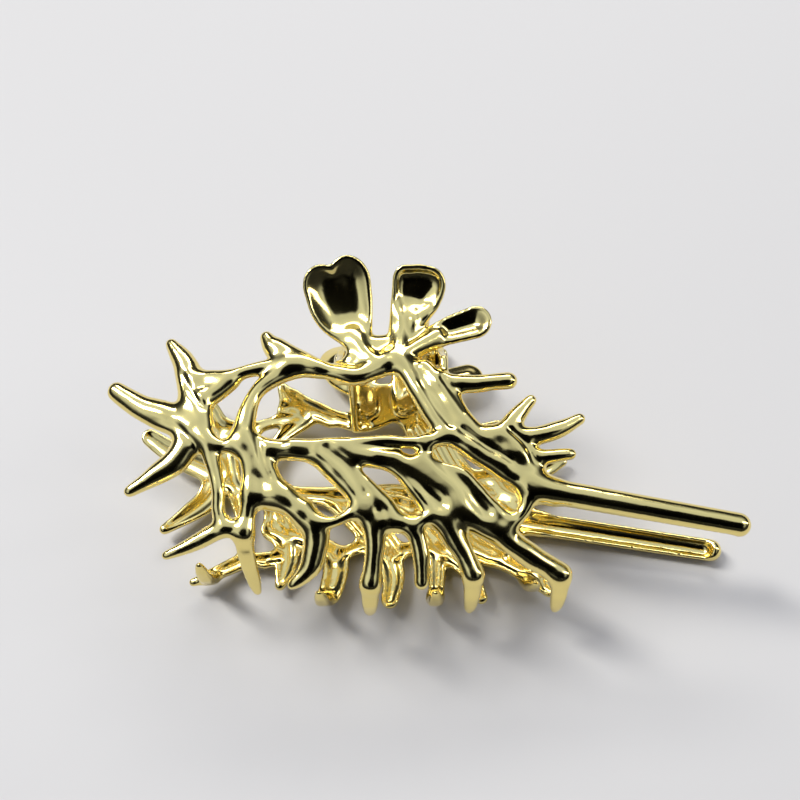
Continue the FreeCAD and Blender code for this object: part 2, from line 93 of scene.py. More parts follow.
# --- the jaw's branches, in mm -----------------------------------------------------------------------------
# Branches of a jaw, seen square on, for a clip 100 long. Each point is (x, y, half the branch's width).
BRANCHES = [
    # left lobe with its three long spikes
    [(-48.4, 22.1, 1.6), (-44.5, 19.2, 2.2), (-41, 17.5, 2.7), (-36, 15, 3.1)],
    [(-45.2, 5, 0.9), (-41.5, 7.2, 1.7), (-38, 10, 2.4), (-36, 13.5, 2.9)],
    [(-40, 30.2, 1.0), (-37.6, 26.3, 2.1), (-36, 21, 2.7), (-36, 15.5, 3.0)],
    [(-34.5, 19, 1.6), (-33, 11.5, 1.6), (-31.5, 5, 1.1), (-31.5, 1.5, 1.1), (-30.5, -1.3, 1.3)],
    [(-34, 13, 1.6), (-30.8, 11.3, 1.0), (-28, 11.8, 1.6)],
    [(-34.5, 19.5, 2.0), (-32.2, 20.8, 1.9), (-30, 22.2, 1.6)],
    # arm over to the upright spike, and the curved strip beside the window
    [(-35.5, 23, 2.1), (-31, 23, 1.5), (-27.5, 24, 1.1), (-24.5, 24.7, 1.2), (-21, 25, 1.7)],
    [(-24.3, 30.4, 1.1), (-23, 28, 1.8), (-20.5, 25, 2.2)],
    [(-22.2, 28.6, 1.4), (-19.2, 26.2, 1.6), (-15.8, 24, 1.4)],
    [(-20.5, 24.5, 1.9), (-25.2, 20.6, 1.3), (-27, 17, 1.5), (-28, 12, 2.2)],
    # lower left spike
    [(-27.5, -1.5, 1.3), (-30.5, -1.4, 1.3), (-34.5, -3, 1.4), (-37.5, -4.3, 1.0), (-39.5, -5, 0.7)],
    # midrib, with a narrow slit under its right half
    [(-28, 12, 2.1), (-22.5, 10.5, 1.6), (-16, 9.5, 1.8), (-12, 9, 1.9)],
    [(-20, 10.8, 0.8), (-12, 10.8, 0.9), (-5.5, 10.9, 0.9), (-0.5, 10.4, 1.1), (4.5, 11.3, 1.5)],
    [(-12, 9.3, 1.6), (-5, 7.8, 1.7), (-1, 6.4, 2.0)],
    [(0.8, 10, 1.0), (0.6, 7, 1.1)],
    # upper halves of the fingers
    [(-27.5, 12.5, 2.2), (-26.5, 8, 1.6), (-26.4, 4, 1.5)],
    [(-25, 9.5, 2.0), (-23.8, 5.7, 2.2), (-21.9, 3.3, 2.2), (-18.8, 0.7, 2.2)],
    [(-26, 3.7, 1.9), (-23.5, 3.1, 2.2), (-21, 2.8, 2.0)],
    [(-15.5, 9, 1.9), (-11, 4, 2.0), (-9, 0.5, 1.8)],
    [(-12.5, 8.5, 1.5), (-10, 5, 1.5), (-6, 1, 1.6), (-5, -1.7, 1.5)],
    [(-4, 7.5, 1.6), (0.3, 2, 2.0), (3, -1.3, 2.1)],
    [(0, 4.5, 1.8), (3, 1.8, 1.9), (5, 0, 1.9)],
    [(-0.5, 7, 1.4), (2.5, 5, 2.2), (8, 0.3, 2.6), (11, -2.3, 2.3)],
    [(0.5, 7, 0.9), (6, 5, 1.2), (10, 0.3, 1.2), (13, -2, 1.1)],
    # right-hand band of two pleats, with its prong
    [(-3.5, 25.5, 1.6), (-2, 23.6, 1.6), (1.2, 17.2, 1.9),
     (3.9, 13, 1.8), (10.5, 7.5, 2.1), (16, 3.7, 1.9)],
    [(1, 23.4, 1.5), (4, 19.5, 2.0), (6.2, 14.7, 2.0), (9, 11.3, 1.9), (13, 8, 2.0)],
    [(3.5, 20.8, 1.7), (9, 20.2, 1.5), (14.5, 20.7, 1.5)],
    # star with three spikes, and the fork under the stem
    [(12.5, 11.5, 1.6), (15.5, 14.6, 1.4), (17.8, 16.9, 1.05)],
    [(11, 11.5, 1.8), (17, 11, 1.6), (22, 12.2, 1.4), (25.3, 13.7, 1.05)],
    [(14, 9.5, 2.0), (18, 7.8, 1.3), (23.3, 7.9, 1.0)],
    [(13.5, 10.5, 2.0), (15.5, 8, 2.7), (17.5, 3.9, 2.2)],
    [(16.5, 2.7, 1.9), (15.3, -0.5, 1.1), (13, -3, 1.2)],
    [(16, 3.6, 1.9), (20, 2.4, 2.1)],
]

# The collar between the petals.
COLLAR = [
    [(-10.5, 25.5, 1.5), (-6, 27, 1.9), (-2.5, 26.5, 1.7)],
    [(-9.5, 28, 1.4), (-6, 28.8, 1.4), (-2.5, 28.5, 1.4)],
]

# What only the front jaw has: its top bar and the lower halves of its fingers.
FRONT_BRANCHES = [
    [(-20.5, 24.7, 1.9), (-15.5, 23.7, 1.5), (-10, 22.2, 1.7),
     (-7.5, 23.2, 1.8), (-5, 24.5, 2.0), (-2.5, 24.4, 1.8)],
    [(-26.4, 4.5, 1.5), (-27, 1, 1.4), (-27.6, -2.2, 1.5)],
    [(-18.8, 0.7, 2.2), (-16.8, -2.2, 2.3), (-16.8, -5, 2.1),
     (-17.8, -7.8, 1.7), (-19.4, -9.4, 1.2), (-20.6, -10.2, 0.7)],
    [(-16.8, -1, 1.3), (-14.3, -1.4, 0.9), (-12, -0.5, 1.1), (-9.5, 0.8, 1.6)],
    [(-9, 0.5, 1.8), (-7.8, -2.5, 1.8), (-7.9, -5.5, 1.6), (-8.7, -10.5, 1.5)],
    [(-7, -1.5, 1.4), (-4, -1.6, 1.5), (-1.7, -3, 1.5), (-0.9, -6, 1.4), (-1, -10.5, 1.2)],
    [(-2, -2.6, 1.2), (0, -1.5, 1.0), (2.5, -0.5, 1.4)],
    [(3, -1.3, 2.1), (4.3, -4, 2.0), (5.9, -7, 1.7), (6.9, -9.7, 1.6)],
    [(4.5, 0.5, 2.2), (10.5, -3, 2.3), (14.5, -6.2, 2.0), (20.2, -9.9, 1.9)],
]

# What only the rear jaw has. Its fingers stand between those of the front jaw.
REAR_BRANCHES = [
    [(-24, 26.5, 1.5), (-20.5, 26.3, 1.7), (-16, 24.8, 1.6),
     (-12, 23.4, 1.6), (-8.5, 23.2, 1.8), (-3.5, 25.5, 1.6)],
    [(-26.4, 4.5, 1.6), (-24, 2, 2.1), (-23.4, -1, 2.1), (-23.9, -4, 1.7), (-24.7, -6.2, 1.0)],
    [(-27.5, -1.5, 1.3), (-25, -1, 1.3)],
    [(-18.8, 0.7, 2.2), (-15.9, -1, 2.3), (-15.2, -4, 2.4), (-16.2, -8, 2.1)],
    [(-15.3, -2, 1.5), (-12.5, -0.3, 1.3), (-9, 0.8, 1.7)],
    [(-9, 0.5, 1.9), (-6.2, -2.5, 2.1), (-5.5, -6, 2.1), (-6.2, -9.8, 1.5)],
    [(-5, -1.7, 1.4), (-1.5, -0.6, 1.3), (1.7, -1.5, 1.5), (2, -5, 1.5), (1.5, -9.7, 1.3)],
    [(3, -1.3, 2.1), (5.5, -3.5, 1.8), (7.7, -6.5, 1.5), (9, -10.3, 1.1)],
    [(4.5, 0.5, 2.2), (11, -2.8, 1.9), (15, -5, 1.8), (20.2, -9.6, 1.4)],
]

# Petals, drawn the same way, on a trough that flares outwards from the hinge.
TROUGH_BOTTOM = 9.6
TROUGH_MIDDLE_Y = 27.0
TROUGH_RADIUS_ACROSS = 24.0
TROUGH_RADIUS_ALONG = 60.0
HEART = [
    [(-8.7, 25.5, 1.4), (-10.4, 29.5, 2.0), (-13.1, 33.5, 3.5), (-14.5, 37.3, 3.5)],
    [(-8.7, 25.5, 1.4), (-9.2, 30, 2.2), (-10.1, 35, 3.5), (-10.3, 38.6, 3.6)],
    [(-9.3, 29, 1.8), (-11.2, 33, 3.0), (-12.3, 35.8, 3.4)],
]
CUP = [
    [(-2.3, 25.5, 1.5), (-2.4, 30, 1.8), (-1.6, 35, 2.2), (-1.2, 38.8, 2.0)],
    [(-2, 27, 1.5), (-0.5, 32.5, 2.5), (1.5, 36.2, 3.4), (2.8, 37.6, 2.8)],
    [(-1, 38.6, 2.1), (1.2, 38.8, 2.1), (3.2, 38.2, 2.0)],
]
SPOON = [[(-1.5, 26, 1.6), (2, 28.7, 1.7), (5.5, 30.2, 2.4), (10, 31.2, 2.8)]]

# Each petal: its outline, how far from its root the bowl starts and is full, how deep it is, and its ribs.
PETALS = [(HEART, 2.5, 9.0, 1.3, 0.0), (CUP, 6.5, 11.5, 1.4, 0.16), (SPOON, 2.5, 7.5, 1.2, 0.0)]

# The plate under the collar, and the petals' stalks that run in over it. The collar's middle stays solid.
COLLAR_MIDDLE = (-4.5, 25.2)
COLLAR_SOLID_RADIUS = 5.2
COLLAR_FLATNESS = 1.2
COLLAR_SINK = 0.7
COLLAR_PLATE = [(-8, 24.3, 2.2), (-4.5, 25, 2.6), (-1.5, 24, 2.2)]
STALKS = [
    [(-10.2, 30, 1.7), (-8.6, 27, 1.4), (-6.8, 25, 1.2)],
    [(-2.4, 31, 1.8), (-2.6, 27.8, 1.6), (-3.4, 25, 1.3)],
    [(3.5, 29.4, 1.7), (0.3, 27.4, 1.4), (-2.6, 25, 1.2)],
]

# Shallow folds pressed into the tops of the broad parts, as lines of (x, y).
FOLD_RADIUS = 0.5
FOLD_RISE = 0.1
FOLDS = [
    [(0.4, 21), (2.6, 16), (4.8, 12.8)],
    [(4, 21), (5.6, 18.2), (7.2, 15.4)],
    [(6.5, 12), (10, 9.3), (14, 6.8)],
    [(-37.8, 24), (-36, 20.5), (-34, 17.5)],
    [(-42, 16), (-38.5, 15), (-35, 11.5)],
    [(-25.2, 12), (-24.6, 8.5), (-23.4, 5.5)],
    [(14, 11.8), (16.2, 9.5), (17.5, 6.5)],
]

# Wide, shallow hollows along the sheet between its fingers, as lines of (x, y).
HOLLOW_RADIUS = 1.7
HOLLOW_RISE = 1.35
HOLLOWS = [
    [(-6.5, 7.2), (-1.5, 4.4), (2.5, 0.4)],
    [(1.5, 8.2), (6, 3.8), (9.5, -1)],
    [(-14.5, 9.6), (-11, 6.4), (-9, 2.5)],
]

# The stem, as (x, y, z, radius), and the channel along its back.
STEM_ROOT = (17.0, 2.9, 9.8, 2.1)
STEM_TIP = (48.1, -4.0, 8.2, 1.9)
STEM_BORE_DROP = 0.8
STEM_WALL = 0.65
STEM_BORE_END = 1.2

# Teeth at the finger ends: (x, y) of the root and (x, y) of the tip.
FRONT_TEETH = [
    (-27.8, -2.6, -27, -9.4), (-8.8, -10.5, -9.3, -13.3),
    (6.9, -9.8, 6.4, -13.7), (20.3, -10.2, 19.9, -14.2),
]
REAR_TEETH = [
    (-36.5, -4.5, -36.4, -4.4), (-17, -9, -17.2, -9.8),
    (1.3, -10, 1.3, -10.7), (17, -8, 17.2, -9.9),
]
TOOTH_TIP_HEIGHT = -1.0
# A tooth's hook from root to tip: share of its length, how far it bulges forwards, half its width.
TOOTH_HOOK = [(0, 0, 1.45), (0.2, 0.7, 1.4), (0.45, 0.9, 1.3), (0.75, 0.55, 1.1), (0.94, 0.1, 0.75)]
TOOTH_ROOT_SINK = 0.5
TOOTH_ROOT_HALF_THICKNESS = 0.95
TOOTH_THINNING = 0.4

# Hinge lugs: a round eye, and a web that leans towards the teeth on its way up to the jaw.
LUG_THICKNESS = 1.3
LUG_RADIUS = 2.6
LUG_EDGE = 0.3
WEB_HALF_WIDTH = 1.9
WEB_LEAN = 0.59
WEB_SLANT = 0.86
WEB_TOP = 11.6
BORE_RADIUS = 1.05

# Channels along the backs of the branches: how deep they lie, the metal beside them and the narrowest made.
CHANNEL_DROP = 1.0
CHANNEL_WALL = 0.6
CHANNEL_LEAST_RADIUS = 0.45

# --- the distance field ------------------------------------------------------------------------------------
GRID_LOW = np.array([-51.5, -16.5, -4.5])
GRID_HIGH = np.array([51.5, 44.5, 19.0])
VOXEL = 0.275
FAR = 3.0
BRANCH_TOP = 1.0
BRANCH_BACK = 1.25
BRANCH_SOFT = 1.1


class Field:
    """Signed distances in mm on a regular grid: negative inside the metal."""

    def __init__(self):
        self.counts = np.ceil((GRID_HIGH - GRID_LOW) / VOXEL).astype(int)
        self.values = np.full(self.counts, FAR, np.float32)

    def block(self, low, high):
        """The slice of the grid between two corners, and its coordinates, ready to broadcast."""
        start = np.clip(np.floor((np.asarray(low) - GRID_LOW) / VOXEL).astype(int), 0, self.counts)
        stop = np.clip(np.ceil((np.asarray(high) - GRID_LOW) / VOXEL).astype(int) + 1, 0, self.counts)
        where = tuple(slice(a, b) for a, b in zip(start, stop))
        axes = [GRID_LOW[i] + VOXEL * np.arange(start[i], stop[i], dtype=np.float32) for i in range(3)]
        return where, np.meshgrid(*axes, indexing="ij", sparse=True)

    def join(self, where, distances, soft):
        """Adds a shape, melting it into what is there."""
        old = self.values[where]
        near = np.maximum(soft - np.abs(old - distances), 0) / soft
        self.values[where] = np.minimum(old, distances) - near * near * soft / 4

    def carve(self, where, distances, soft):
        """Takes a shape away, with a softened edge."""
        old = self.values[where]
        near = np.maximum(soft - np.abs(old + distances), 0) / soft
        self.values[where] = np.maximum(old, -distances) + near * near * soft / 4


def smooth_points(points, step=0.8):
    """Samples of a smooth line through points: a Catmull-Rom curve in every column."""
    points = np.array(points, float)
    padded = np.vstack([2 * points[0] - points[1], points, 2 * points[-1] - points[-2]])
    samples = []
    for index in range(len(points) - 1):
        before, start, end, after = padded[index : index + 4]
        count = max(2, int(np.linalg.norm(end[:2] - start[:2]) / step))
        for t in np.linspace(0, 1, count, endpoint=False):
            samples.append(
                0.5 * (2 * start + (end - before) * t + (2 * before - 5 * start + 4 * end - after) * t * t
                       + (3 * start - before - 3 * end + after) * t**3)
            )
    samples.append(points[-1])
    return np.array(samples)


def rod_distance(grid, start, end, slot):
    """Distance to a tapering round rod (x, y, z, radius). A slot is open below: it reaches down for ever."""
    x, y, z = grid
    run = (end - start)[:3]
    px, py, pz = x - start[0], y - start[1], z - start[2]
    if slot:
        t = np.clip((px * run[0] + py * run[1]) / (run[0] ** 2 + run[1] ** 2), 0, 1)
        dz = np.maximum(pz - t * run[2], 0)
    else:
        t = np.clip((px * run[0] + py * run[1] + pz * run[2]) / run.dot(run), 0, 1)
        dz = pz - t * run[2]
    dx, dy = px - t * run[0], py - t * run[1]
    return np.sqrt(dx * dx + dy * dy + dz * dz) - (start[3] + t * (end[3] - start[3]))


def add_branch(field, points, soft, slot=False):
    """Adds a chain of rods (x, y, z, radius) to a field."""
    reach = points[:, 3].max() + FAR
    low, high = points[:, :3].min(0) - reach, points[:, :3].max(0) + reach
    if slot:
        low[2] = GRID_LOW[2]
    where, _ = field.block(low, high)
    values = np.full(field.values[where].shape, FAR, np.float32)
    origin = [s.start for s in where]
    for a, b in zip(points, points[1:]):
        reach = max(a[3], b[3]) + FAR
        low, high = np.minimum(a, b)[:3] - reach, np.maximum(a, b)[:3] + reach
        if slot:
            low[2] = GRID_LOW[2]
        part, grid = field.block(low, high)
        inner = tuple(slice(s.start - o, s.stop - o) for s, o in zip(part, origin))
        values[inner] = np.minimum(values[inner], rod_distance(grid, a, b, slot))
    field.join(where, values, soft)


def on_shell(points):
    """(x, y, radius) points as (x, y, z, radius) samples whose tops keep to one domed surface."""
    samples = smooth_points(points)
    radii = samples[:, 2]
    sink = np.where(radii > BRANCH_TOP, BRANCH_TOP - radii, 0.3 * (BRANCH_TOP - radii))
    heights = shell_height(samples[:, 0], samples[:, 1]) + sink
    return np.column_stack([samples[:, :2], heights, radii])


def add_openwork(outer, core, branches):
    """Half-round branches, and the channels along the backs of the thick ones."""
    for branch in branches:
        points = on_shell(branch)
        add_branch(outer, points, BRANCH_SOFT)
        inner = points - np.array([0, 0, CHANNEL_DROP, CHANNEL_WALL])
        thick = inner[:, 3] > CHANNEL_LEAST_RADIUS
        for run in np.split(np.arange(len(inner)), np.flatnonzero(np.diff(thick.astype(int))) + 1):
            if len(run) > 2 and thick[run[0]]:
                add_branch(core, inner[run], 0.9, slot=True)


def add_presses(field, lines, radius, rise):
    """Adds rods that lie along lines of (x, y) just over the branches' tops, to be carved away."""
    for line in lines:
        points = smooth_points([(x, y, radius) for x, y in line])
        heights = shell_height(points[:, 0], points[:, 1]) + BRANCH_TOP + rise
        add_branch(field, np.column_stack([points[:, :2], heights, points[:, 2]]), 0.2)


def add_ripple(field, x, y, z):
    """The slow unevenness of a cast surface."""
    field.values += 0.10 * np.sin(0.62 * x + 0.35 * y) * np.cos(0.55 * y - 0.25 * x + 0.5 * z)
    field.values += 0.04 * np.sin(0.95 * y + 0.4 * x + z) * np.cos(0.9 * x - 0.6 * y)


def outline_distance(grid, branches, soft):
    """Distance in the plane to the outline of some branches, melted into each other."""
    x, y, _ = grid
    total = None
    for branch in branches:
        samples = smooth_points(branch)
        shape = None
        for a, b in zip(samples, samples[1:]):
            run = b - a
            t = np.clip(((x - a[0]) * run[0] + (y - a[1]) * run[1]) / (run[0] ** 2 + run[1] ** 2), 0, 1)
            d = np.hypot(x - a[0] - t * run[0], y - a[1] - t * run[1]) - (a[2] + t * run[2])
            shape = d if shape is None else np.minimum(shape, d)
        if total is None:
            total = shape
        else:
            near = np.maximum(soft - np.abs(total - shape), 0) / soft
            total = np.minimum(total, shape) - near * near * soft / 4
    return total


def rounded(profile, across, radius):
    """A profile and a slab combined with a rounded edge."""
    a, b = profile + radius, across + radius
    return np.hypot(np.maximum(a, 0), np.maximum(b, 0)) + np.minimum(np.maximum(a, b), 0) - radius


def step_between(values, low, high):
    """0 below low, 1 above high, smooth between."""
    t = np.clip((values - low) / (high - low), 0, 1)
    return t * t * (3 - 2 * t)


def add_petal(field, branches, bowl_start, bowl_full, depth, ribs):
    """A hollow spoon with a rolled rim. The bowl starts some way from the petal's root."""
    points = np.array([p for branch in branches for p in branch])
    margin, lowest = 7, 3
    low = [points[:, 0].min() - margin, points[:, 1].min() - 5, lowest]
    high = [points[:, 0].max() + margin, GRID_HIGH[1], GRID_HIGH[2]]
    where, grid = field.block(low, high)
    x, y, z = grid
    inside = outline_distance(grid, branches, 0.7)
    deep = outline_distance(grid, branches, 4.0)
    flare = TROUGH_RADIUS_ACROSS - np.sqrt(TROUGH_RADIUS_ACROSS**2 - (y - TROUGH_MIDDLE_Y) ** 2)
    surface = TROUGH_BOTTOM + flare + x**2 / (2 * TROUGH_RADIUS_ALONG)
    root = points[0]
    away = np.hypot(x - root[0], y - root[1])
    bowl = step_between(away, bowl_start, bowl_full)
    bowl_shoulder, bowl_spread = 0.3, 1.9
    dip = bowl * depth * (1 - np.exp(-(np.clip(-deep - bowl_shoulder, 0, None) / bowl_spread) ** 2))
    crown_height, crown_width, rib_waves = 0.5, 1.6, 2.6
    crown = (1 - bowl) * crown_height * np.clip(-inside / crown_width, 0, 1)
    crown = crown + (1 - bowl) * ribs * np.cos(rib_waves * x)
    height = surface + 0.35 - dip + crown
    slope = np.sqrt(1 + ((y - TROUGH_MIDDLE_Y) / TROUGH_RADIUS_ACROSS) ** 2)
    level = (z - height) / slope
    wall = 0.55 + 0.35 * (1 - bowl)
    sheet = rounded(inside, np.abs(level) - wall, 0.45)
    rim_radius, rim_lift = 0.5, 0.4
    rim = np.hypot(inside + rim_radius, (z - surface - rim_lift) / slope) - rim_radius
    field.join(where, np.minimum(sheet, rim).astype(np.float32), 0.8)


def add_tooth(field, root_x, root_y, tip_x, tip_y):
    """A hooked tooth: it bends down from the finger's end and narrows to a rounded point."""
    root = np.array([root_x, root_y, shell_height(root_x, root_y) - TOOTH_ROOT_SINK])
    tip = np.array([tip_x, tip_y, TOOTH_TIP_HEIGHT])
    along = (tip - root) / np.linalg.norm(tip - root)
    face = np.array([0.0, -along[2], along[1]])
    face = -face / np.linalg.norm(face)
    hook = []
    for share, bulge, radius in TOOTH_HOOK:
        hook.append((*(root + (tip - root) * share + np.array([0, -bulge, 0])), radius))
    hook = smooth_points(hook, 1.5)
    where, grid = field.block(np.minimum(root, tip) - 4, np.maximum(root, tip) + 4)
    distances = np.full(field.values[where].shape, FAR, np.float32)
    for a, b in zip(hook, hook[1:]):
        distances = np.minimum(distances, rod_distance(grid, a, b, False))
    x, y, z = [g - c for g, c in zip(grid, root)]
    run = (y * along[1] + z * along[2]) / np.linalg.norm(tip - root)
    shares, bulges, _ = zip(*TOOTH_HOOK[:-1])
    bulge = np.interp(run, (*shares, 1), (*bulges, 0))
    half_thickness = TOOTH_ROOT_HALF_THICKNESS - TOOTH_THINNING * np.clip(run, 0, 1)
    through = np.abs(y * face[1] + z * face[2] + bulge * face[1]) - half_thickness
    soft = 0.5
    near = np.maximum(soft - np.abs(distances - through), 0) / soft
    field.join(where, np.maximum(distances, through) + near * near * soft / 4, 1.2)


def add_lug(field, left):
    """A hinge lug: an eye round the pin and a web that leans up to the jaw."""
    pin_y = HINGE_MIDDLE[1]
    where, (x, y, z) = field.block([left - 2, pin_y - 13, -4.5], [left + 4, pin_y + 6, 14])
    across = np.abs(x - left - LUG_THICKNESS / 2) - LUG_THICKNESS / 2
    eye = np.hypot(y - pin_y, z) - LUG_RADIUS
    web = np.abs(y - pin_y + WEB_LEAN * z) * WEB_SLANT - WEB_HALF_WIDTH
    web = np.maximum(web, np.maximum(-z, z - WEB_TOP))
    near = np.maximum(1.0 - np.abs(eye - web), 0)
    profile = np.minimum(eye, web) - near * near / 4
    field.join(where, rounded(profile, across, LUG_EDGE), 0.6)
    field.carve(where, np.hypot(y - pin_y, z) - BORE_RADIUS, 0.1)


def above_rest(x, y, z):
    """Height over the plane of the crest's polished flat, which the rear jaw rests on."""
    height = -math.cos(REST_ROLL) * math.sin(REST_TILT) * y + math.sin(REST_ROLL) * x
    return height + math.cos(REST_ROLL) * math.cos(REST_TILT) * z - REST_LIFT


def jaw_field(branches, teeth, lugs):
    """One jaw, as a front jaw: half-round branches with channelled backs, stem, petals, teeth and lugs."""
    everywhere = (slice(None),) * 3
    outer, core, presses = Field(), Field(), Field()
    add_openwork(outer, core, BRANCHES + branches)
    x, y, z = outer.block(GRID_LOW, GRID_HIGH)[1]
    solid = COLLAR_SOLID_RADIUS - np.hypot(x - COLLAR_MIDDLE[0], (y - COLLAR_MIDDLE[1]) * COLLAR_FLATNESS)
    core.values = np.maximum(core.values, solid.astype(np.float32))
    for branch in COLLAR + [COLLAR_PLATE]:
        add_branch(outer, on_shell(branch) - np.array([0, 0, COLLAR_SINK, 0]), BRANCH_SOFT)
    for stalk in STALKS:
        add_branch(outer, on_shell(stalk), 0.4)
    add_presses(presses, FOLDS, FOLD_RADIUS, FOLD_RISE)
    add_presses(presses, HOLLOWS, HOLLOW_RADIUS, HOLLOW_RISE)
    outer.carve(everywhere, presses.values, 0.5)
    add_ripple(outer, x, y, z)
    outer.carve(everywhere, z - (shell_height(x, y) - BRANCH_BACK), 0.5)
    stem = np.array([STEM_ROOT, STEM_TIP])
    add_branch(outer, stem, 1.2)
    bore = stem - np.array([0, 0, STEM_BORE_DROP, STEM_WALL])
    bore[1, 0] -= STEM_BORE_END
    add_branch(core, bore, 0.5, slot=True)
    outer.carve(everywhere, core.values, 0.5)
    for petal in PETALS:
        add_petal(outer, *petal)
    outer.carve(everywhere, -above_rest(x, y, z), 0.15)
    for tooth in teeth:
        add_tooth(outer, *tooth)
    for left in lugs:
        add_lug(outer, left)
    return outer


def sample(values, points):
    """The grid's values at points, in grid steps, between its nodes."""
    base = np.clip(np.floor(points).astype(int), 0, np.array(values.shape) - 2)
    part = points - base
    total = np.zeros(len(points))
    for corner in range(8):
        bits = np.array([corner >> 2 & 1, corner >> 1 & 1, corner & 1])
        weight = np.prod(np.where(bits, part, 1 - part), axis=1)
        total += weight * values[tuple((base + bits).T)]
    return total


def new_object(name, points, faces):
    """A smooth mesh object from design-frame points in mm."""
    rest = np.array(REST)
    points = np.asarray(points, float) @ rest[:3, :3].T + rest[:3, 3]
    faces = np.asarray(faces, np.int32)
    mesh = bpy.data.meshes.new(name)
    mesh.vertices.add(len(points))
    mesh.vertices.foreach_set("co", points.ravel())
    mesh.loops.add(faces.size)
    mesh.loops.foreach_set("vertex_index", faces.ravel())
    mesh.polygons.add(len(faces))
    mesh.polygons.foreach_set("loop_start", np.arange(0, faces.size, faces.shape[1], dtype=np.int32))
    mesh.polygons.foreach_set("use_smooth", np.ones(len(faces), bool))
    mesh.update(calc_edges=True)
    mesh.validate()
    obj = bpy.data.objects.new(name, mesh)
    bpy.context.scene.collection.objects.link(obj)
    return obj


def soften(values):
    """The field with each node averaged with its neighbours, which takes the grid's grain off the polish."""
    for axis in range(3):
        near = np.moveaxis(values, axis, 0)
        near[1:-1] = (near[:-2] + 2 * near[1:-1] + near[2:]) / 4


def field_mesh(name, field, mirror):
    """The field's zero surface as a mesh object in the row frame."""
    soften(field.values)
    soften(field.values)
    grid = openvdb.FloatGrid(FAR)
    grid.copyFromArray(field.values)
    points, quads = grid.convertToQuads(0.0)
    points = points.astype(float)
    slopes = np.gradient(field.values)
    normals = np.zeros_like(points)
    # two Newton steps bring the vertices onto the zero surface
    for _ in range(2):
        for axis in range(3):
            normals[:, axis] = sample(slopes[axis], points)
        steepness = np.maximum((normals**2).sum(1), 1e-9)
        points -= normals * (sample(field.values, points) / steepness)[:, None]
    points = points * VOXEL + GRID_LOW
    if mirror:
        points[:, 2] *= -1
        quads = quads[:, ::-1]
    return new_object(name, points, quads)


def mark_inner(obj, outward):
    """A point attribute: 1 where the casting faces the hair, is satin and gets a painted warmer, darker gold
    that stands in for light bounced between the jaws; 0 where it is polished.
    """
    mesh = obj.data
    normals = np.zeros(len(mesh.vertices) * 3)
    mesh.vertices.foreach_get("normal", normals)
    facing = normals.reshape(-1, 3) @ np.array(outward)
    inner = mesh.attributes.new("inner", "FLOAT", "POINT")
    inner.data.foreach_set("value", np.clip((0.1 - facing) / 0.5, 0, 1))


# --- the pin and the spring --------------------------------------------------------------------------------
# The pin's outline as (x, radius), from end to end through both rivet heads.
PIN_PROFILE = [
    (-14.1, 0.0), (-14.08, 0.6), (-14.0, 1.1), (-13.85, 1.5), (-13.65, 1.68), (-13.5, 1.7), (-13.5, 1.0),
    (5.2, 1.0), (5.2, 1.7), (5.35, 1.68), (5.55, 1.5), (5.7, 1.1), (5.78, 0.6), (5.8, 0.0),
]
COIL_RADIUS = 2.0
WIRE_RADIUS = 0.5
COIL_PITCH = 1.1
COIL_WHOLE_TURNS = 10
# A leg's angle from the plane between the jaws, and the stretch of coil that turns from jaw to jaw.
LEG_ANGLE = math.radians(48)
FRONT_LEG_LENGTH = 11.8
REAR_LEG_LENGTH = 13.0


def ring_faces(rings, count):
    """Quads that join rings of points, each ring with the same even count, and close both ends."""
    faces = []
    for start in range(0, (rings - 1) * count, count):
        for index in range(count):
            after = (index + 1) % count
            faces.append((start + index, start + after, start + count + after, start + count + index))
    last = (rings - 1) * count
    for index in range(count // 2 - 1):
        across = (index, index + 1, count - 2 - index, count - 1 - index)
        faces.append(across[::-1])
        faces.append(tuple(last + corner for corner in across))
    return faces


def make_pin():
    """The rivet pin, turned about the hinge axis, with domed heads."""
    count = 40
    points = []
    for x, radius in PIN_PROFILE:
        for index in range(count):
            turn = 2 * math.pi * index / count
            size = max(radius, 0.02)  # the ends are closed by tiny flats
            points.append((x, HINGE_MIDDLE[1] + size * math.cos(turn), size * math.sin(turn)))
    return new_object("rivet_pin", points, ring_faces(len(PIN_PROFILE), count))


def make_spring():
    """The torsion spring: left-handed turns of wire with a straight leg from each end."""
    turns = COIL_WHOLE_TURNS + (math.pi - 2 * LEG_ANGLE) / (2 * math.pi)
    steps = 340
    t = np.linspace(0, 1, steps)
    turn = -math.pi / 2 - LEG_ANGLE - 2 * math.pi * turns * t
    half = turns * COIL_PITCH / 2
    coil = np.column_stack([
        HINGE_MIDDLE[0] - half + 2 * half * t,
        HINGE_MIDDLE[1] + COIL_RADIUS * np.cos(turn),
        COIL_RADIUS * np.sin(turn),
    ])
    rise = COIL_PITCH / (2 * math.pi * COIL_RADIUS)
    front_way = np.array([rise, math.cos(LEG_ANGLE), math.sin(LEG_ANGLE)])
    front_way /= np.linalg.norm(front_way)
    rear_way = front_way * np.array([-1, 1, -1])
    run = np.linspace(0, 1, 24)[1:, None]
    rear_leg = coil[0] + rear_way * run * REAR_LEG_LENGTH
    front_leg = coil[-1] + front_way * run * FRONT_LEG_LENGTH
    path = np.vstack([rear_leg[::-1], coil, front_leg])
    ways = np.gradient(path, axis=0)
    ways /= np.linalg.norm(ways, axis=1)[:, None]
    count = 14
    side = np.cross(ways[0], [1.0, 0, 0])
    points = []
    for index, (centre, way) in enumerate(zip(path, ways)):
        # the ring of points turns with the wire, without twisting round it
        side = side - way * side.dot(way)
        side /= np.linalg.norm(side)
        other = np.cross(way, side)
        end = min(index, len(path) - 1 - index)
        size = WIRE_RADIUS * (0.05, 0.9)[end] if end < 2 else WIRE_RADIUS  # blunt, rounded wire ends
        for corner in range(count):
            angle = 2 * math.pi * corner / count
            points.append(centre + size * (math.cos(angle) * side + math.sin(angle) * other))
    return new_object("spring_wire", points, ring_faces(len(path), count))
